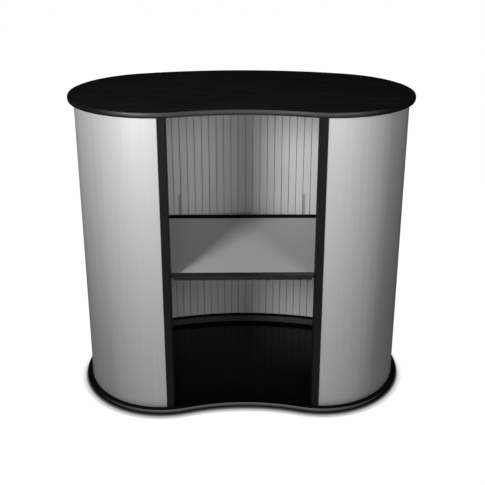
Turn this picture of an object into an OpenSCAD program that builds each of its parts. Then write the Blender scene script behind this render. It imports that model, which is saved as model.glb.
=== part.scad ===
// Curved display counter: a kidney-shaped base and top joined by two extruded
// posts, with a slatted wrap round the back and a lift-out shelf.
// The open front faces -Y, the floor is z = 0, and the middle of the footprint is the origin.

/* [Overall] */
// Width over the edging
counter_w = 1050; // [1000:2:1200]
// Height of the top surface above the floor
counter_h = 965; // [800:5:1100]
// Radius of the two round ends
lobe_r = 273; // [260:1:290]
// How far the back stands behind the round ends
back_bulge = 42; // [25:1:70]
// How far the front hollows in at its middle
waist_depth = 36; // [20:1:60]

/* [Boards] */
// Thickness of the base board and the top board
board_t = 15; // [12:1:25]
// Wall of the edging at its upper and lower lips
edging_lip = 1; // [0.8:0.1:2]
// How far the edging bulges beyond its lips
edging_bulge = 2; // [0.5:0.1:3]
// Joint between two lengths of the edging
edging_joint = 0.2; // [0.1:0.05:0.5]
// Thickness of the edging's spine
spine_t = 1.8; // [1.2:0.1:3]
// Depth of the edging's spine into the board
spine_d = 9; // [6:0.5:12]

/* [Glides] */
// Height of the base board above the floor
glide_h = 2; // [1:0.5:6]
// Radius of a glide
glide_r = 14; // [8:1:20]
// Distance from the outline to a glide's centre
glide_inset = 62; // [55:1:75]
// How far the head of a glide's screw is sunk into it
glide_sink = 0.4; // [0.2:0.1:0.6]

/* [Wrap] */
// Distance from the outline in to the wrap's outer face
overhang = 18; // [10:1:30]
// Thickness of the outer sheet
skin_t = 1; // [0.5:0.1:2]
// Thickness of a slat
slat_t = 8.5; // [6:0.5:12]
// Spacing of the slats along the sheet
slat_pitch = 26; // [20:0.5:40]
// Gap between neighbouring slats at the sheet
slat_gap = 0.9; // [0.5:0.1:2]
// Draw-in of a slat's sides towards its inner face
slat_taper = 0.45; // [0.4:0.05:1]
// Chamfer on a slat's inner edges
slat_chamfer = 0.6; // [0.3:0.1:1.5]

/* [Posts] */
// How far a post's outer face stands inside the centre of its round end
post_inset = 16; // [10:1:24]
// Width of a post across the front
post_w = 22; // [20:1:30]
// Depth of a post from front to back
post_d = 50; // [44:1:70]
// Wall of the post extrusion
post_wall = 2; // [1.5:0.1:2.5]
// How far a post stands proud of the wrap
post_proud = 2.5; // [2:0.1:5]
// Depth of the slot that takes the wrap's end
slot_d = 8; // [6:0.5:9]
// Room in the slot past the wrap's end
slot_play = 2; // [1:0.5:3]
// Radius of a screw port's bore
port_bore = 2.1; // [1.6:0.1:2.4]
// Radius of a screw port outside
port_r = 4; // [3.5:0.1:4.5]
// Radius of the extrusion's outer corners
post_corner = 1.5; // [0.5:0.1:1.8]

/* [Locating pins] */
// Radius of a locating pin
pin_r = 4; // [3:0.5:5]
// Height of a pin above the posts
pin_up = 10; // [6:1:11]
// Chamfer on a pin's tip
pin_tip = 1.5; // [0.5:0.5:2.5]
// Depth of the plug that closes a post
plug_d = 20; // [12:1:40]
// Thickness of the plug below its pin
plug_floor = 2; // [1:0.5:4]
// Clearance round a pin in its socket
pin_clear = 0.3; // [0.2:0.05:0.6]
// Wall of a socket
socket_wall = 1.7; // [1:0.1:3]
// Thickness of a socket's flange
socket_flange = 1; // [0.5:0.1:2]
// Width of a socket's flange
socket_flange_w = 2; // [1:0.5:3]

/* [Curbs] */
// Width of the raised curbs inside the wrap
curb_w = 18; // [14:1:30]
// Height of the curbs
curb_h = 24; // [16:1:40]
// Chamfer on the curbs' free edges
curb_chamfer = 1.5; // [0.5:0.1:4]
// Thickness of the fastening tape round a curb
tape_t = 1.5; // [0.8:0.1:3]
// Width of the fastening tape
tape_w = 16; // [10:1:16]
// Joint between two lengths of a curb
curb_joint = 0.5; // [0.2:0.1:1]
// Number of screws in each length of a curb
curb_screws = 3; // [2:1:5]

/* [Shelf] */
// Height of the shelf's upper face above the floor
shelf_z = 456; // [250:2:700]
// Thickness of the shelf
shelf_t = 15; // [12:1:20]
// How far the shelf reaches behind each post, past the post's inner face
shelf_behind = 51; // [35:1:60]
// Room between the shelf's rear corners and the slats
shelf_play = 2; // [1:0.5:5]
// Distance from the posts' front faces back to the shelf's front edge
shelf_setback = 30.5; // [20:0.5:36]
// Depth of the rear rail
rear_rail_d = 33; // [20:1:60]
// Radius of a shelf pin
shelf_pin_r = 3; // [2:0.5:3.5]
// Reach of a shelf pin out of its post
shelf_pin_out = 7; // [5:0.5:10]
// Radius of a shelf pin's shank
shank_r = 1.8; // [1.2:0.1:1.9]
// Length of a shelf pin's shank
shank_l = 6; // [5:0.5:8]
// Height of the notches over the shelf pins
notch_h = 9; // [7:0.5:11]
// Radius of a dowel between the shelf panel and its rails
dowel_r = 3; // [2:0.5:4]
// Length of a dowel
dowel_l = 30; // [20:1:36]
// Number of dowels along each rail
dowels = 4; // [2:1:6]

/* [Shelf hangers] */
// Distance from the shelf's side in to the slat that carries a hanger
hanger_in = 33; // [25:1:60]
// Width of a hanger
hanger_w = 7; // [5:0.5:9]
// Thickness of a hanger
hanger_t = 2; // [1.5:0.1:3]
// Height of a hanger above the shelf's upper face
hanger_up = 73; // [40:1:120]
// Reach of a hanger's foot under the shelf
hanger_foot = 26; // [22:1:40]
// Distance from a hanger's top down to its upper screw
hanger_screw_in = 10; // [6:1:20]
// Spacing of a hanger's screws
hanger_screw_step = 35; // [20:1:45]

/* [Fits and fasteners] */
// Clearance where a piece seats in or against another of the same body
seat_gap = 0.1; // [0.05:0.01:0.2]
// Clearance between pieces that move apart
move_gap = 0.5; // [0.3:0.05:1]
// Clearance round the wrap in the posts' slots and under the top
slot_gap = 0.3; // [0.2:0.05:0.6]
// Clearance between a round pin and the flat face that rests on it
rest_gap = 0.3; // [0.2:0.05:0.5]
// How far a blind hole runs past the end of its screw or pin
hole_past = 1; // [0.5:0.1:2]
// Radius of the shank of the large screws
screw_r = 2; // [1.5:0.1:2]
// Radius of the head of the large screws
head_r = 4; // [3:0.1:4.5]
// Bite of a curb screw in its board
screw_bite = 8; // [5:0.5:10]
// Bite of a post screw in its post
post_bite = 24; // [15:1:40]
// Radius of the shank of the small screws
small_r = 1.5; // [1:0.1:1.6]
// Radius of the head of the small screws
small_head_r = 2.8; // [2:0.1:3]
// Bite of a small screw
small_bite = 6; // [4:0.5:7]

/* [Hidden] */
$fn = 96;
// The outline's wide arcs are drawn finer, so that flat pieces set out along them stay clear
arc_fn = 480;

black = "#1f1f1f";
laminate_black = "#181818";
silver = "#a9a9a9";
slat_grey = "#c2c2c2";
shelf_grey = "#bebebe";
steel = "#a8a8a8";
beech = "#c8a878";

// The outline is four arcs that meet on common tangents: a round end on each side,
// a shallow arc behind them and a hollow one in front.
lobe_x = counter_w / 2 - lobe_r;
back_reach = lobe_r + back_bulge;
waist_reach = lobe_r - waist_depth;
back_r = (pow(lobe_x, 2) + pow(back_reach, 2) - pow(lobe_r, 2)) / (2 * back_bulge);
back_c = back_r - back_reach;
waist_r = (pow(lobe_x, 2) + pow(waist_reach, 2) - pow(lobe_r, 2)) / (2 * waist_depth);
waist_c = waist_r + waist_reach;
tangent_angle = atan2(back_c, lobe_x);
// From the line through the round ends' centres to the middle of the depth
middle_y = back_bulge / 2;
// Cuts run past the surface by this much
cut = 1;
// A screw's hexagon recess, as shares of the shank's radius
recess_r = 0.9;
recess_depth = 0.6;
// Where the glides stand on the right end, as angles from the +X direction
glide_angles = [-65, 5, 75];

// Heights
base_z = glide_h;
floor_z = base_z + board_t;
under_z = counter_h - board_t;
wrap_top_z = under_z - slot_gap;

// Distances from the outline, going inwards
edging_t = edging_lip + edging_bulge;
skin_in = overhang + skin_t;
slat_w = slat_pitch - slat_gap;
// The flat back of a slat stands off the curved sheet by this much at its middle
slat_hollow = pow(slat_w, 2) / (8 * (lobe_r - skin_in));
slat_in = skin_in + seat_gap + slat_hollow + slat_t;
tape_out = slat_in + 2 * seat_gap;
curb_out = tape_out + tape_t;
curb_in = curb_out + curb_w;

// The posts, seen from above
post_out_x = lobe_x - post_inset;
post_in_x = post_out_x - post_w;
opening_w = 2 * post_in_x;
post_front_y = -(lobe_r - overhang) - post_proud;
post_back_y = post_front_y + post_d;
slot_x = post_out_x - slot_d;
slot_wall_x = slot_x - post_wall;
slot_back_y = -(lobe_r - slat_in - slot_gap) + post_wall;
wrap_end_x = slot_x + slot_play;
// A port's centre lies this far from both walls, so that the port fills its corner
port_in = 0.7 * port_r;
port_1 = [post_in_x + post_wall + port_in, slot_back_y + port_in];
port_2 = [post_out_x - post_wall - port_in, post_back_y - post_wall - port_in];
pin_x = (post_in_x + post_out_x) / 2;
pin_y = (slot_back_y + post_back_y - post_wall) / 2;
pin_z = under_z - plug_d + plug_floor;
socket_r = pin_r + pin_clear + socket_wall;
socket_d = pin_up + hole_past;

// The shelf
shelf_under = shelf_z - shelf_t;
shelf_w = opening_w + 2 * shelf_behind;
shelf_front_y = post_front_y + shelf_setback;
panel_front_y = post_back_y + move_gap;
front_rail_d = panel_front_y - shelf_front_y;
wall_corner_y = sqrt(pow(back_r - slat_in, 2) - pow(shelf_w / 2, 2)) - back_c;
shelf_back_y = wall_corner_y - shelf_play;
panel_back_y = shelf_back_y - rear_rail_d;
front_rail_w = opening_w - 2 * move_gap;
notch_w = shelf_pin_out + move_gap;
shelf_pin_z = shelf_under + notch_h - rest_gap - shelf_pin_r;
shelf_pin_y = shelf_front_y + front_rail_d / 2;
dowel_step = front_rail_w / dowels;

// Ways along the outline, counted from the wrap's end in the right post
function start_angle(inset, end_x) = -90 - asin((lobe_x - end_x) / (lobe_r - inset));
function lobe_run(inset, end_x) =
    (lobe_r - inset) * (tangent_angle - start_angle(inset, end_x)) * PI / 180;
function back_run(inset) = (back_r - inset) * (180 - 2 * tangent_angle) * PI / 180;
function whole_run(inset, end_x) = 2 * lobe_run(inset, end_x) + back_run(inset);
// Where a way of length s ends: the arc's centre x and y, the direction, and the radius
function place(inset, end_x, s) =
    s > whole_run(inset, end_x) / 2
        ? mirrored(place(inset, end_x, whole_run(inset, end_x) - s))
        : s <= lobe_run(inset, end_x)
            ? [lobe_x, 0, start_angle(inset, end_x) + s / (lobe_r - inset) * 180 / PI, lobe_r - inset]
            : [0, -back_c, tangent_angle + (s - lobe_run(inset, end_x)) / (back_r - inset) * 180 / PI,
               back_r - inset];
function mirrored(p) = [-p[0], p[1], 180 - p[2], p[3]];

slat_run = whole_run(skin_in, wrap_end_x);
slat_count = round(slat_run / slat_pitch);
slat_step = slat_run / slat_count;
// The slat that carries the right hanger stands this many slats from the middle one
hanger_r = back_r - skin_in;
hanger_way = hanger_r * asin((shelf_w / 2 - hanger_in) / hanger_r) * PI / 180;
hanger_index = floor((slat_count - 1) / 2) - round(hanger_way / slat_step);
hanger_shift = slat_w / 2 - slat_taper - slat_chamfer - hanger_w / 2 + seat_gap;
hanger_top_z = shelf_z + hanger_up;
hanger_screw_z = hanger_top_z - hanger_screw_in;
hanger_heights = [hanger_screw_z, hanger_screw_z - hanger_screw_step];
curb_mid = curb_out + curb_w / 2;
curb_end_x = post_out_x + move_gap;

// Puts children at a place, with local x pointing out of the outline
module at_place(p) translate([p[0], p[1], 0]) rotate(p[2]) translate([p[3], 0, 0]) children();
module in_frame() translate([0, -middle_y, 0]) children();
module both_sides() {
    children();
    mirror([1, 0, 0]) children();
}

module column(z0, z1) translate([0, 0, z0]) linear_extrude(z1 - z0) children();

// The part of the plan between the round ends, bounded by the lines through the arcs' centres
module middle_plan() {
    back_plan(0);
    waist_plan(0);
}
module back_plan(joint) {
    polygon([
        [joint - lobe_x, 0], [lobe_x - joint, 0],
        [2 * lobe_x - joint, back_c], [joint - 2 * lobe_x, back_c]
    ]);
}
module waist_plan(joint) polygon([[joint - lobe_x, 0], [0, -waist_c], [lobe_x - joint, 0]]);

// The outline, drawn in by a distance
module outline(inset) {
    for (s = [-1, 1]) translate([s * lobe_x, 0]) circle(lobe_r - inset, $fn = arc_fn);
    difference() {
        intersection() {
            translate([0, -back_c]) circle(back_r - inset, $fn = arc_fn);
            middle_plan();
        }
        translate([0, -waist_c]) circle(waist_r + inset, $fn = arc_fn);
    }
}
// The open front, between two ends at a distance from the middle
module front_gap(end_x) translate([-end_x, -lobe_r - cut]) square([2 * end_x, lobe_r + cut]);
// A band that follows the ends and the back between two distances from the outline
module band(from, to, end_x, z0, z1) {
    column(z0, z1) difference() {
        outline(from);
        outline(to);
        front_gap(end_x);
    }
}

// Sweeps of a profile along the arcs. Its x is the distance in from the outline.
module full_turn() rotate_extrude($fn = arc_fn) children();
module sweep_ends(z0, z1) {
    for (s = [-1, 1]) difference() {
        translate([s * lobe_x, 0, 0]) full_turn() translate([lobe_r, 0]) mirror([1, 0]) children();
        column(z0 - cut, z1 + cut) middle_plan();
    }
}
module sweep_back(z0, z1, joint) {
    intersection() {
        translate([0, -back_c, 0]) full_turn() translate([back_r, 0]) mirror([1, 0]) children();
        column(z0 - cut, z1 + cut) back_plan(joint);
    }
}
module sweep_waist(z0, z1, joint) {
    intersection() {
        translate([0, -waist_c, 0]) full_turn() translate([waist_r, 0]) children();
        column(z0 - cut, z1 + cut) waist_plan(joint);
    }
}

// Screws and their holes point down, with the head's top at z = 0
module screw(r, head, length) {
    difference() {
        union() {
            translate([0, 0, -length]) cylinder(r = r, h = length - (head - r));
            translate([0, 0, r - head]) cylinder(r1 = r, r2 = head, h = head - r);
        }
        translate([0, 0, -recess_depth * r]) cylinder(r = recess_r * r, h = 2 * r, $fn = 6);
    }
}
module pilot(r, depth) translate([0, 0, -depth]) cylinder(r = r + seat_gap, h = depth + cut);
module screw_hole(r, head, depth) {
    pilot(r, depth);
    translate([0, 0, r - head]) cylinder(r1 = r + seat_gap, r2 = head + seat_gap, h = head - r);
    cylinder(r = head + seat_gap, h = cut);
}

// Boards and their edging
module board_with_groove(z0) {
    difference() {
        column(z0, z0 + board_t) outline(edging_t);
        column(z0 + (board_t - spine_t) / 2 - seat_gap, z0 + (board_t + spine_t) / 2 + seat_gap) {
            difference() {
                outline(edging_t - cut);
                outline(edging_t + spine_d + 2 * seat_gap);
            }
        }
    }
}
module edging_profile(z0) {
    bow_r = (pow(board_t / 2, 2) + pow(edging_bulge, 2)) / (2 * edging_bulge);
    intersection() {
        translate([0, z0]) square([edging_t, board_t]);
        translate([bow_r, z0 + board_t / 2]) circle(bow_r);
    }
    translate([edging_t - edging_lip / 2, z0 + (board_t - spine_t) / 2]) {
        square([spine_d + edging_lip / 2, spine_t]);
    }
}
// Four lengths that meet end to end where the arcs do
module edging(z0) {
    sweep_ends(z0, z0 + board_t) edging_profile(z0);
    sweep_back(z0, z0 + board_t, edging_joint) edging_profile(z0);
    sweep_waist(z0, z0 + board_t, edging_joint) edging_profile(z0);
}

// Glides under the base: three on each round end, one behind and one in front
module glide_spots() {
    both_sides() for (a = glide_angles) {
        translate([lobe_x, 0, 0]) rotate(a) translate([lobe_r - glide_inset, 0, 0]) children();
    }
    translate([0, back_reach - glide_inset, 0]) children();
    translate([0, -waist_reach + glide_inset, 0]) children();
}
module post_screw_spots() both_sides() for (p = [port_1, port_2]) translate(p) children();
module curb_screw_spots() {
    end_run = lobe_run(curb_mid, curb_end_x);
    for (i = [0.5:curb_screws - 0.5]) {
        both_sides() at_place(place(curb_mid, curb_end_x, i * end_run / curb_screws)) children();
        at_place(place(curb_mid, curb_end_x, end_run + i * back_run(curb_mid) / curb_screws)) children();
    }
}

module base_board() color(laminate_black) in_frame() difference() {
    board_with_groove(base_z);
    post_screw_spots() translate([0, 0, base_z]) mirror([0, 0, 1]) screw_hole(screw_r, head_r, board_t + cut);
    curb_screw_spots() translate([0, 0, floor_z]) pilot(screw_r, screw_bite + hole_past);
    glide_spots() translate([0, 0, base_z]) mirror([0, 0, 1]) pilot(small_r, small_bite + hole_past);
}
module base_edging() color(black) in_frame() edging(base_z);

module base_glides() color(black) in_frame() glide_spots() difference() {
    union() {
        cylinder(r1 = glide_r - glide_h / 2, r2 = glide_r, h = glide_h / 2);
        translate([0, 0, glide_h / 2]) cylinder(r = glide_r, h = glide_h / 2);
    }
    translate([0, 0, glide_sink]) mirror([0, 0, 1]) screw_hole(small_r, small_head_r, glide_h);
}
module glide_screws() color(steel) in_frame() glide_spots() {
    translate([0, 0, glide_sink]) mirror([0, 0, 1]) {
        screw(small_r, small_head_r, small_bite + glide_h - glide_sink);
    }
}

// Curbs: raised rings that the wrap is held against, each in three lengths
module curb_profile(z0, up) {
    z_free = z0 + up * curb_h;
    polygon([
        [curb_out, z0], [curb_in, z0], [curb_in, z_free - up * curb_chamfer],
        [curb_in - curb_chamfer, z_free], [curb_out + curb_chamfer, z_free],
        [curb_out, z_free - up * curb_chamfer]
    ]);
}
module curb(z0, up) {
    difference() {
        sweep_ends(z0 - curb_h, z0 + curb_h) curb_profile(z0, up);
        column(z0 - curb_h - cut, z0 + curb_h + cut) front_gap(curb_end_x);
    }
    sweep_back(z0 - curb_h, z0 + curb_h, curb_joint) curb_profile(z0, up);
}
module base_curb() color(black) in_frame() difference() {
    curb(floor_z, 1);
    curb_screw_spots() translate([0, 0, floor_z + curb_h]) screw_hole(screw_r, head_r, curb_h + cut);
}
module base_curb_screws() color(black) in_frame() curb_screw_spots() {
    translate([0, 0, floor_z + curb_h]) screw(screw_r, head_r, curb_h + screw_bite);
}
module base_curb_tape() color(black) in_frame() {
    tape_z = floor_z + (curb_h - tape_w) / 2;
    band(tape_out, curb_out, curb_end_x, tape_z, tape_z + tape_w);
}

// Posts: an extrusion with a slot for the wrap's end and two screw ports
module post_outer() {
    translate([post_in_x, post_front_y]) {
        translate([post_corner, 0]) square([post_w - 2 * post_corner, post_d]);
        translate([0, post_corner]) square([post_w, post_d - 2 * post_corner]);
        for (x = [post_corner, post_w - post_corner], y = [post_corner, post_d - post_corner]) {
            translate([x, y]) circle(post_corner);
        }
    }
}
module post_slot() {
    intersection() {
        difference() {
            outline(overhang - slot_gap);
            outline(slat_in + slot_gap);
        }
        translate([slot_x, post_front_y]) square([slot_d + cut, post_d]);
    }
}
module post_cavity(gap) {
    translate([post_in_x + post_wall + gap, slot_back_y + gap]) {
        square([post_w - 2 * post_wall - 2 * gap, post_back_y - post_wall - slot_back_y - 2 * gap]);
    }
}
module side_cavity() {
    translate([post_in_x + post_wall, post_front_y + post_wall]) {
        square([slot_wall_x - post_in_x - post_wall, slot_back_y - post_wall - post_front_y - post_wall]);
    }
}
module post_plan() {
    difference() {
        post_outer();
        post_slot();
        side_cavity();
        difference() {
            post_cavity(0);
            translate(port_1) circle(port_r);
            translate(port_2) circle(port_r);
        }
        translate(port_1) circle(port_bore);
        translate(port_2) circle(port_bore);
    }
}
module post() difference() {
    column(floor_z, under_z) post_plan();
    translate([post_in_x - cut, shelf_pin_y, shelf_pin_z]) rotate([0, 90, 0]) {
        cylinder(r = shank_r + seat_gap, h = post_wall + 2 * cut);
    }
}
module right_post() color(black) in_frame() post();
module left_post() color(black) in_frame() mirror([1, 0, 0]) post();
module post_screws() color(steel) in_frame() post_screw_spots() {
    translate([0, 0, base_z]) mirror([0, 0, 1]) screw(screw_r, head_r, board_t + post_bite);
}
module post_top_plugs() color(black) in_frame() both_sides() difference() {
    column(under_z - plug_d, under_z) difference() {
        post_cavity(seat_gap);
        translate(port_1) circle(port_r + seat_gap);
        translate(port_2) circle(port_r + seat_gap);
    }
    translate([pin_x, pin_y, pin_z]) cylinder(r = pin_r, h = plug_d);
}
module locating_pins() color(steel) in_frame() both_sides() translate([pin_x, pin_y, pin_z]) {
    body_l = under_z + pin_up - pin_tip - pin_z;
    cylinder(r = pin_r, h = body_l);
    translate([0, 0, body_l]) cylinder(r1 = pin_r, r2 = pin_r - pin_tip, h = pin_tip);
}

// The wrap: slats side by side on one flexible sheet
module wrap_skin() color(silver) in_frame() band(overhang, skin_in, wrap_end_x, floor_z, wrap_top_z);
module slat_plan() {
    half = slat_w / 2;
    polygon([
        [-seat_gap, -half], [-seat_gap, half],
        [slat_chamfer - slat_t - seat_gap, half - slat_taper],
        [-slat_t - seat_gap, half - slat_taper - slat_chamfer],
        [-slat_t - seat_gap, slat_chamfer + slat_taper - half],
        [slat_chamfer - slat_t - seat_gap, slat_taper - half]
    ]);
}
function slat_place(i) = place(skin_in, wrap_end_x, (i + 0.5) * slat_step);
module at_slat(i) at_place(slat_place(i)) translate([-slat_hollow, 0, 0]) children();
module wrap_slats() color(slat_grey) in_frame() {
    for (i = [0:slat_count - 1]) {
        difference() {
            at_slat(i) column(floor_z, wrap_top_z) slat_plan();
            if (i == hanger_index || i == slat_count - 1 - hanger_index) {
                both_sides() hanger_screw_spots() pilot(small_r, small_bite + hole_past);
            }
        }
    }
}

// Shelf supports: pins in the posts, and hangers on the slats behind
module front_shelf_pins() color(black) in_frame() both_sides() {
    translate([post_in_x - shelf_pin_out, shelf_pin_y, shelf_pin_z]) rotate([0, 90, 0]) {
        cylinder(r = shelf_pin_r, h = shelf_pin_out);
        translate([0, 0, shelf_pin_out]) cylinder(r = shank_r, h = shank_l);
    }
}
module at_hanger() {
    at_slat(hanger_index) translate([-slat_t - seat_gap, hanger_shift, 0]) children();
}
// Local z points out of the slat's face, into the counter
module hanger_screw_spots() {
    for (z = hanger_heights) at_hanger() translate([0, 0, z]) rotate([0, -90, 0]) children();
}
module rear_shelf_hangers() color(slat_grey) in_frame() both_sides() difference() {
    at_hanger() {
        translate([-hanger_t - seat_gap, -hanger_w / 2, shelf_under - hanger_t]) {
            cube([hanger_t, hanger_w, shelf_t + hanger_up + hanger_t]);
        }
        translate([-hanger_foot - seat_gap, -hanger_w / 2, shelf_under - hanger_t]) {
            cube([hanger_foot, hanger_w, hanger_t]);
        }
    }
    hanger_screw_spots() translate([0, 0, hanger_t + seat_gap]) {
        screw_hole(small_r, small_head_r, hanger_t + cut);
    }
}
module hanger_screws() color(slat_grey) in_frame() both_sides() hanger_screw_spots() {
    translate([0, 0, hanger_t + seat_gap]) screw(small_r, small_head_r, hanger_t + small_bite);
}

// The shelf: a panel between two rails, held by dowels
module dowel_rows(r, length) {
    for (i = [0.5:dowels - 0.5], y = [panel_front_y, panel_back_y]) {
        translate([i * dowel_step - front_rail_w / 2, y - length / 2, shelf_under + shelf_t / 2]) {
            rotate([-90, 0, 0]) cylinder(r = r, h = length);
        }
    }
}
module dowel_holes() dowel_rows(dowel_r + seat_gap / 2, dowel_l + hole_past);
module shelf_panel() color(shelf_grey) in_frame() difference() {
    translate([-shelf_w / 2, panel_front_y, shelf_under]) {
        cube([shelf_w, panel_back_y - panel_front_y, shelf_t]);
    }
    dowel_holes();
}
module shelf_front_rail() color(black) in_frame() difference() {
    translate([-front_rail_w / 2, shelf_front_y, shelf_under]) cube([front_rail_w, front_rail_d, shelf_t]);
    both_sides() translate([front_rail_w / 2 - notch_w, shelf_front_y - cut, shelf_under - cut]) {
        cube([notch_w + cut, front_rail_d + 2 * cut, notch_h + cut]);
    }
    dowel_holes();
}
module shelf_rear_rail() color(black) in_frame() difference() {
    translate([-shelf_w / 2, panel_back_y, shelf_under]) cube([shelf_w, rear_rail_d, shelf_t]);
    dowel_holes();
}
module shelf_dowels() color(beech) in_frame() dowel_rows(dowel_r, dowel_l);

// The countertop, which lifts off the pins with its own curb
module socket_spots() both_sides() translate([pin_x, pin_y, under_z]) children();
module countertop() color(laminate_black) in_frame() difference() {
    board_with_groove(under_z);
    socket_spots() translate([0, 0, -cut]) {
        cylinder(r = socket_r, h = socket_d + cut);
        cylinder(r = socket_r + socket_flange_w, h = socket_flange + cut);
    }
    curb_screw_spots() translate([0, 0, under_z]) mirror([0, 0, 1]) pilot(screw_r, screw_bite + hole_past);
}
module countertop_edging() color(black) in_frame() edging(under_z);
module pin_sockets() color(steel) in_frame() socket_spots() difference() {
    union() {
        cylinder(r = socket_r, h = socket_d);
        cylinder(r = socket_r + socket_flange_w, h = socket_flange);
    }
    translate([0, 0, -cut]) cylinder(r = pin_r + pin_clear, h = socket_d + 2 * cut);
}
module top_curb() color(black) in_frame() difference() {
    curb(under_z, -1);
    curb_screw_spots() translate([0, 0, under_z - curb_h]) mirror([0, 0, 1]) {
        screw_hole(screw_r, head_r, curb_h + cut);
    }
}
module top_curb_screws() color(black) in_frame() curb_screw_spots() {
    translate([0, 0, under_z - curb_h]) mirror([0, 0, 1]) screw(screw_r, head_r, curb_h + screw_bite);
}
module top_curb_tape() color(black) in_frame() {
    tape_z = under_z - (curb_h + tape_w) / 2;
    band(tape_out + move_gap, curb_out, curb_end_x, tape_z, tape_z + tape_w);
}

base_board();
base_edging();
base_glides();
glide_screws();
base_curb();
base_curb_screws();
base_curb_tape();
left_post();
right_post();
post_screws();
post_top_plugs();
locating_pins();
wrap_skin();
wrap_slats();
front_shelf_pins();
rear_shelf_hangers();
hanger_screws();
shelf_panel();
shelf_front_rail();
shelf_rear_rail();
shelf_dowels();
countertop();
countertop_edging();
top_curb();
top_curb_screws();
top_curb_tape();
pin_sockets();
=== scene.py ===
"""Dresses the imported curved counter: camera, studio, and a finish for every piece."""
import math

import bpy
from mathutils import Euler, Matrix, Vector

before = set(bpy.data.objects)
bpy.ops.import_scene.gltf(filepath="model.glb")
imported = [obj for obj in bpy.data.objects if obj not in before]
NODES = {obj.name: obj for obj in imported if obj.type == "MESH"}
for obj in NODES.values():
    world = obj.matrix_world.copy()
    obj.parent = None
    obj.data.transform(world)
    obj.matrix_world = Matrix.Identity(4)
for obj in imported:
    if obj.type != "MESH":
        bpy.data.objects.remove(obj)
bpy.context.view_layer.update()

MM = 0.001
MATH = "ShaderNodeMath"

# The outline's arcs, in the frame's metres, as the part draws them
LOBE_X, LOBE_Y = 0.252, -0.021      # centre of the right round end
BACK_Y = -0.756                     # centre of the back's arc, on the middle line
SHEET_LOBE_R = 0.254                # radii of the silver sheet, round an end and along the back
SHEET_BACK_R = 1.031
TANGENT = math.atan2(LOBE_X, LOBE_Y - BACK_Y)   # where the back's arc runs into a round end
SLAT_STEP = 0.02594                 # pitch of the slats, measured along the sheet

# Studio
ROOM_LIGHT = 0.05                   # what the white room adds to the lamps' light
GLOW_SHARE = 0.85                   # how much of the floor that is seen glows, the rest being paper
NEAR_REACH, NEAR_DEPTH = 9 * MM, 4.0        # painted contact shadow all round, in the floor's glow: its reach and darkness
FRONT_REACH, FRONT_DEPTH = 24 * MM, 2.0     # wider painted shadow in front, leaning as if light came from behind
PAINTED_SHADOW_LEAN = {"Y": 0.9, "Z": 0.45}         # the way that painted shadow leans, toward the back and up
SHADOW_SAMPLES = 8


# ---------------------------------------------------------------- helpers
def linear(code):
    """An sRGB hex value as linear red, green, blue and alpha."""
    parts = [int(code[i:i + 2], 16) / 255 for i in (1, 3, 5)]
    return tuple(c / 12.92 if c <= 0.04045 else ((c + 0.055) / 1.055) ** 2.4
                 for c in parts) + (1.0,)


def add(tree, kind, inputs=None, **settings):
    """Adds a node with its settings. An input takes a constant, a socket, or a node.

    A node gives its first output.
    """
    node = tree.nodes.new(kind)
    for name, value in settings.items():
        setattr(node, name, value)
    for key, value in (inputs or {}).items():
        if isinstance(value, bpy.types.Node):
            value = value.outputs[0]
        if isinstance(value, bpy.types.NodeSocket):
            tree.links.new(value, node.inputs[key])
        else:
            node.inputs[key].default_value = value
    return node


def empty_tree(owner):
    """The node tree of a material or world, cleared."""
    owner.use_nodes = True
    owner.node_tree.nodes.clear()
    return owner.node_tree


def finish(nodes, name, **shader):
    """Gives CAD nodes a new material. The shader's constants are set on its own sockets."""
    material = bpy.data.materials.new(name)
    for node in nodes:
        slots = NODES[node].data.materials
        if not slots:
            slots.append(material)
        for i in range(len(slots)):
            slots[i] = material
    tree = empty_tree(material)
    surface = add(tree, "ShaderNodeBsdfPrincipled",
                  {key.replace("_", " "): value for key, value in shader.items()})
    add(tree, "ShaderNodeOutputMaterial", {"Surface": surface})
    return tree, surface


def noise(tree, scale, detail=3.0, roughness=0.5):
    """Noise in the part's own coordinates, with a scale along each axis in cycles per metre."""
    place = add(tree, "ShaderNodeTexCoord").outputs["Object"]
    spread = add(tree, "ShaderNodeMapping", {"Vector": place, "Scale": scale})
    return add(tree, "ShaderNodeTexNoise", {"Vector": spread, "Scale": 1.0, "Detail": detail,
                                            "Roughness": roughness}).outputs["Fac"]


def ramp(tree, value, *stops):
    """Colours laid along a value from 0 to 1."""
    node = add(tree, "ShaderNodeValToRGB", {"Fac": value})
    while len(node.color_ramp.elements) < len(stops):
        node.color_ramp.elements.new(0.5)
    for element, (place, code) in zip(node.color_ramp.elements, stops):
        element.position = place
        element.color = linear(code)
    return node.outputs["Color"]


def between(tree, pattern, dark, light):
    """Two colours that follow a noise, whose values mostly lie between 0.3 and 0.7."""
    return ramp(tree, pattern, (0.3, dark), (0.7, light))


def paint(tree, surface, colour, height=None, depth=0.0, strength=1.0):
    """Links a colour to the shader and, if given, a relief of a depth in metres."""
    tree.links.new(colour, surface.inputs["Base Color"])
    if height is not None:
        relief = add(tree, "ShaderNodeBump",
                     {"Height": height, "Distance": depth, "Strength": strength})
        tree.links.new(relief.outputs[0], surface.inputs["Normal"])


def coat(tree, surface, value, full, gone):
    """Lays all of the shader's coat where a value is up to full, and none of it from gone on."""
    weight = ramp(tree, value, (full, "#ffffff"), (gone, "#000000"))
    tree.links.new(weight, surface.inputs["Coat Weight"])


def mottled(nodes, name, pattern, colours, relief=None, **shader):
    """A finish whose colour, and relief if it has one, follow one noise.

    The pattern is what noise() takes. The relief is its depth in metres and its strength.
    """
    tree, surface = finish(nodes, name, **shader)
    height = noise(tree, *pattern)
    colour = between(tree, height, *colours)
    if relief:
        paint(tree, surface, colour, height, *relief)
    else:
        paint(tree, surface, colour)
    return tree, surface


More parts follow.
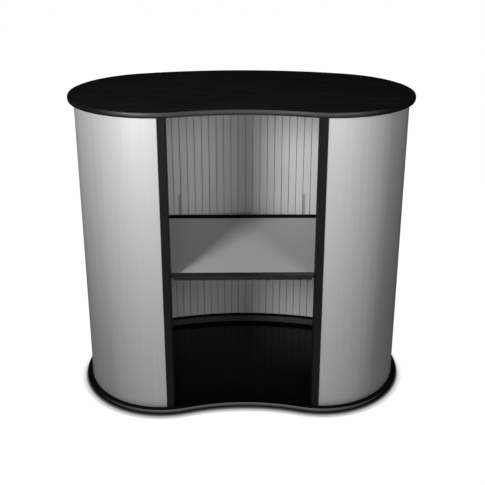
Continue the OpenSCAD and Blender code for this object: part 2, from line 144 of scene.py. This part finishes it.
def outline_place(tree):
    """A point's distance from the middle plane and its y, then both from its round end's centre."""
    spot = add(tree, "ShaderNodeSeparateXYZ", {0: add(tree, "ShaderNodeTexCoord").outputs["Object"]})
    side = add(tree, MATH, {0: spot.outputs["X"]}, operation="ABSOLUTE")
    y = spot.outputs["Y"]
    end_x = add(tree, MATH, {0: side, 1: LOBE_X}, operation="SUBTRACT")
    end_y = add(tree, MATH, {0: y, 1: LOBE_Y}, operation="SUBTRACT")
    return side, y, end_x, end_y


# ---------------------------------------------------------------- camera
# Fitted to the photo's edges with a smaller lens shift than the photo's, so that the counter stays
# whole in the other views, which keep the shift
camera = bpy.data.objects.new("camera", bpy.data.cameras.new("camera"))
bpy.context.scene.collection.objects.link(camera)
bpy.context.scene.camera = camera
camera.location = (-0.0126, -2.2720, 1.4785)
camera.rotation_euler = Euler([math.radians(a) for a in (71.168, -0.239, -1.142)])
camera.data.sensor_width = 36
camera.data.lens = 56.09
camera.data.shift_x = -0.0228
camera.data.shift_y = -0.150
camera.data.clip_end = 60
bpy.context.scene.view_settings.view_transform = "Standard"


# ---------------------------------------------------------------- studio
def lamp(name, place, aim, size, power, spread):
    """A soft rectangular lamp that faces a point. Its spread is the full angle of its light."""
    data = bpy.data.lights.new(name, "AREA")
    data.shape = "RECTANGLE"
    data.size, data.size_y = size
    data.spread = math.radians(spread)
    data.energy = power
    thing = bpy.data.objects.new(name, data)
    bpy.context.scene.collection.objects.link(thing)
    thing.location = place
    thing.rotation_euler = (Vector(place) - Vector(aim)).to_track_quat("Z", "Y").to_euler()


# Name, place, aim, width and height, power in watts, spread in degrees
lamp("key_lamp", (-1.15, -1.85, 1.45), (-0.1, 0, 1.03), (0.45, 0.55), 10, 75)
lamp("fill_lamp", (0.9, -1.6, 1.35), (0.1, 0, 1.0), (0.4, 0.5), 2.9, 85)
lamp("front_lamp", (0, -2.8, 1.0), (0, 0, 0.8), (1.2, 0.8), 5.8, 120)
lamp("back_lamp", (0.8, 2.4, 0.45), (0.1, 0, 0.55), (1.1, 0.5), 9.5, 110)


def seen_directly(tree):
    """1 for a ray from the camera, a mirror or glass, 0 for the light that falls on things."""
    path = add(tree, "ShaderNodeLightPath").outputs
    seen = add(tree, MATH, {0: path["Is Camera Ray"], 1: path["Is Glossy Ray"]},
               operation="MAXIMUM")
    return add(tree, MATH, {0: seen, 1: path["Is Transmission Ray"]}, operation="MAXIMUM")


# The room is white to the eye and gives little light of its own
world = bpy.data.worlds.new("studio")
bpy.context.scene.world = world
tree = empty_tree(world)
room = add(tree, "ShaderNodeBackground", {"Color": (1, 1, 1, 1), "Strength": ROOM_LIGHT})
white = add(tree, "ShaderNodeBackground", {"Color": (1, 1, 1, 1), "Strength": 1.0})
mix = add(tree, "ShaderNodeMixShader", {0: seen_directly(tree), 1: room, 2: white})
add(tree, "ShaderNodeOutputWorld", {"Surface": mix})

# White paper floor: most of what is seen of it glows. A painted shadow dims the glow close to the
# counter, all round it and further in front, as if light came from behind.
bpy.ops.mesh.primitive_plane_add(size=16, location=(0, 0, 0))
floor = bpy.context.object
floor.name = "studio_floor"
paper_floor = bpy.data.materials.new("white_paper_floor")
floor.data.materials.append(paper_floor)
tree = empty_tree(paper_floor)
near = add(tree, "ShaderNodeAmbientOcclusion", {"Distance": NEAR_REACH}, samples=SHADOW_SAMPLES)
near = add(tree, MATH, {0: near.outputs["AO"], 1: NEAR_DEPTH}, operation="POWER")
lean = add(tree, "ShaderNodeCombineXYZ", PAINTED_SHADOW_LEAN)
front = add(tree, "ShaderNodeAmbientOcclusion", {"Distance": FRONT_REACH, "Normal": lean},
            samples=SHADOW_SAMPLES)
front = add(tree, MATH, {0: front.outputs["AO"], 1: FRONT_DEPTH}, operation="POWER")
unshaded = add(tree, MATH, {0: near, 1: front}, operation="MULTIPLY")
# Divided by its share, so that the glow alone is full white outside the painted shadow
strength = add(tree, MATH, {0: unshaded, 1: 1 / GLOW_SHARE}, operation="MULTIPLY")
glow = add(tree, "ShaderNodeEmission", {"Color": (1, 1, 1, 1), "Strength": strength})
paper = add(tree, "ShaderNodeBsdfDiffuse", {"Color": linear("#f4f4f4")})
share = add(tree, MATH, {0: seen_directly(tree), 1: GLOW_SHARE}, operation="MULTIPLY")
mix = add(tree, "ShaderNodeMixShader", {0: share, 1: paper, 2: glow})
add(tree, "ShaderNodeOutputMaterial", {"Surface": mix})


# ---------------------------------------------------------------- finishes
# Embossed black laminate: a wood grain that runs along the counter shows as faint streaks. The fine
# relief takes all gloss away, so the top stays black even where it is seen at a low angle.
mottled(["countertop"], "embossed_wood_grain_laminate", ((7, 160, 160), 5, 0.6),
        ("#161616", "#2a2a2a"), (0.3 * MM, 0.35), Roughness=0.6, Specular_IOR_Level=0.0)

# Gloss black laminate: a nearly flat, faint mirror with a trace of ripple. Its rim outside the wrap
# is dull, so that it stays dark at the ends of the counter. The change lies under the sheet's edge.
tree, surface = finish(["base_board"], "gloss_black_laminate", Roughness=0.6,
                       Specular_IOR_Level=0.0, Coat_IOR=1.23, Coat_Roughness=0.12)
_, _, end_x, end_y = outline_place(tree)
outward = add(tree, MATH, {0: end_x, 1: 0.0}, operation="MAXIMUM")
away = add(tree, "ShaderNodeCombineXYZ", {"X": outward, "Y": end_y})
away = add(tree, "ShaderNodeVectorMath", {0: away}, operation="LENGTH").outputs["Value"]
rim = SHEET_LOBE_R + 1 * MM
paint(tree, surface, ramp(tree, away, (SHEET_LOBE_R, "#030303"), (rim, "#181818")),
      noise(tree, (12, 12, 12), 2), 0.5 * MM, 0.1)
coat(tree, surface, away, SHEET_LOBE_R, rim)

# Extruded vinyl edging: the lamps draw a broad soft line along its bulge where that faces the eye,
# and the sheen is gone where it turns away, so the ends of the counter stay black. The base's
# edging is polished and shows a brighter line than the countertop's satin one, as in the photo.
for node, name, coat_ior, gone in (("base_edging", "polished_vinyl_edging", 1.72, 0.4),
                                   ("countertop_edging", "satin_vinyl_edging", 1.39, 0.3)):
    tree, surface = mottled([node], name, ((60, 60, 400),), ("#121212", "#181818"),
                            (0.05 * MM, 0.4), Roughness=0.6, Specular_IOR_Level=0.0,
                            Coat_IOR=coat_ior, Coat_Roughness=0.5)
    turned = add(tree, "ShaderNodeLayerWeight", {"Blend": 0.5}).outputs["Facing"]
    coat(tree, surface, turned, 0.05, gone)

# Black paint on fibreboard, slightly uneven. The curbs' upright faces are painted a lighter, dark
# grey as painted light, and their flat edges deep black as painted shade, which draws a dark line
# along the foot of the wall. The chamfer between them is where one turns into the other.
tree, surface = finish(["base_curb", "top_curb"], "painted_fibreboard",
                       Roughness=0.7, Specular_IOR_Level=0.0)
mottle = noise(tree, (90, 90, 90))
normal = add(tree, "ShaderNodeNewGeometry").outputs["Normal"]
flatness = add(tree, "ShaderNodeSeparateXYZ", {0: normal}).outputs["Z"]
flatness = add(tree, MATH, {0: flatness}, operation="ABSOLUTE")
# painted shade: the flat edges darker than the upright faces
painted_shade = ramp(tree, flatness, (0.5, "#ffffff"), (0.75, "#333333"))
# painted light: the upright faces a dark grey, lighter than black paint
grey_with_painted_light = between(tree, mottle, "#3e3e3e", "#484848")
colour = add(tree, "ShaderNodeVectorMath", {0: grey_with_painted_light, 1: painted_shade}, operation="MULTIPLY")
paint(tree, surface, colour.outputs["Vector"], mottle, 0.1 * MM, 0.4)

# Woven loop tape: no sheen, a pile of tiny loops
tree, surface = finish(["base_curb_tape", "top_curb_tape"], "woven_loop_tape",
                       Roughness=0.95, Specular_IOR_Level=0.1)
place = add(tree, "ShaderNodeTexCoord").outputs["Object"]
loops = add(tree, "ShaderNodeTexVoronoi", {"Vector": place, "Scale": 700.0}).outputs["Distance"]
paint(tree, surface, ramp(tree, loops, (0.1, "#1b1b1b"), (0.8, "#070707")), loops, 0.5 * MM, 0.6)

# Powder coat on extruded aluminium: matte black, with a fine sandy texture
mottled(["left_post", "right_post"], "powder_coated_aluminium", ((900, 900, 900), 2),
        ("#0d0d0d", "#121212"), (0.05 * MM, 0.3), Roughness=0.6, Specular_IOR_Level=0.08)

# Silver laminate sheet, satin: it lies against the flat backs of the slats, so that under a low
# light each slat shows as a faint upright band. The silver comes from metal flakes that lie flat in
# the film, so it gleams only where it faces the eye.
tree, surface = finish(["wrap_skin"], "silver_laminate_sheet", Roughness=0.5,
                       Specular_IOR_Level=0.0, Coat_IOR=2.2, Coat_Roughness=0.45)
# The way along the outline from the middle of the back, counted in slats: the back's arc, as far as
# it goes, and then the arc of a round end
side, y, end_x, end_y = outline_place(tree)
back_y = add(tree, MATH, {0: y, 1: BACK_Y}, operation="SUBTRACT")
back_turn = add(tree, MATH, {0: side, 1: back_y}, operation="ARCTAN2")
back_turn = add(tree, MATH, {0: back_turn, 1: TANGENT}, operation="MINIMUM")
back_way = add(tree, MATH, {0: back_turn, 1: SHEET_BACK_R / SLAT_STEP}, operation="MULTIPLY")
end_turn = add(tree, MATH, {0: end_x, 1: end_y}, operation="ARCTAN2")
end_turn = add(tree, MATH, {0: end_turn, 1: 1.5 * math.pi, 2: -0.5 * math.pi}, operation="WRAP")
end_turn = add(tree, MATH, {0: end_turn, 1: TANGENT}, operation="MAXIMUM")
end_turn = add(tree, MATH, {0: end_turn, 1: TANGENT}, operation="SUBTRACT")
slats = add(tree, MATH, {0: end_turn, 1: SHEET_LOBE_R / SLAT_STEP, 2: back_way},
            operation="MULTIPLY_ADD")
# The sheet lies flat on each slat and bends between two, which a parabola over each slat draws
off_middle = add(tree, MATH, {0: slats, 1: 0.5}, operation="PINGPONG")
bend = add(tree, MATH, {0: off_middle, 1: off_middle}, operation="MULTIPLY")
brushed = noise(tree, (500, 500, 2))
paint(tree, surface, between(tree, brushed, "#929292", "#999999"), bend, 0.9 * MM)
turned = add(tree, "ShaderNodeLayerWeight", {"Blend": 0.5}).outputs["Facing"]
coat(tree, surface, turned, 0.1, 0.45)

# Foil-wrapped slats: light grey foil, satin, with a fine grain along each slat
mottled(["wrap_slats"], "foil_wrapped_slats", ((300, 300, 3),), ("#bfbfbf", "#c6c6c6"),
        Roughness=0.45, Specular_IOR_Level=0.3)

# Grey laminate on the shelf: matte, with a fine fleck
mottled(["shelf_panel"], "grey_shelf_laminate", ((500, 500, 500),), ("#b8b8b8", "#bfbfbf"),
        Roughness=0.5, Specular_IOR_Level=0.3)

# Gloss black laminate on the front rail: a faint mirror with a trace of ripple
mottled(["shelf_front_rail"], "gloss_black_rail", ((30, 30, 30), 2), ("#0b0b0b", "#101010"),
        (0.2 * MM, 0.1), Roughness=0.12, Specular_IOR_Level=0.2)

# Dull black laminate on the rear rail: it mirrors no wall, and draws a dark line along its foot
mottled(["shelf_rear_rail"], "dull_black_rail", ((30, 30, 30), 2), ("#141414", "#1a1a1a"),
        (0.2 * MM, 0.1), Roughness=0.6, Specular_IOR_Level=0.0)

# Bare beech dowels: the grain runs along them, from front to back
mottled(["shelf_dowels"], "bare_beech", ((900, 60, 900),), ("#b98f62", "#d2ab7c"),
        (0.1 * MM, 0.3), Roughness=0.7, Specular_IOR_Level=0.2)

# Zinc-plated steel: dull silver with a fine spangle
mottled(["glide_screws", "post_screws", "locating_pins", "pin_sockets"], "zinc_plated_steel",
        ((800, 800, 800),), ("#a3a6a8", "#bcbfc1"), (0.03 * MM, 0.3), Metallic=1.0, Roughness=0.35)

# Grey powder coat on the hangers, with painted shade: darker than the slats, so they show as thin
# upright strips
mottled(["rear_shelf_hangers", "hanger_screws"], "powder_coated_hanger", ((900, 900, 900), 2),
        ("#8e8e8e", "#969696"), (0.05 * MM, 0.3), Roughness=0.6, Specular_IOR_Level=0.2)

# Blackened steel: dark and oily, slightly mottled
mottled(["front_shelf_pins", "base_curb_screws", "top_curb_screws"], "blackened_steel",
        ((700, 700, 700),), ("#0c0c0c", "#161616"), (0.03 * MM, 0.3),
        Roughness=0.4, Specular_IOR_Level=0.4)

# Moulded nylon: dull black, with the fine spark-eroded texture of its mould
mottled(["base_glides", "post_top_plugs"], "moulded_nylon", ((500, 500, 500),),
        ("#121212", "#1a1a1a"), (0.05 * MM, 0.3), Roughness=0.5, Specular_IOR_Level=0.4)
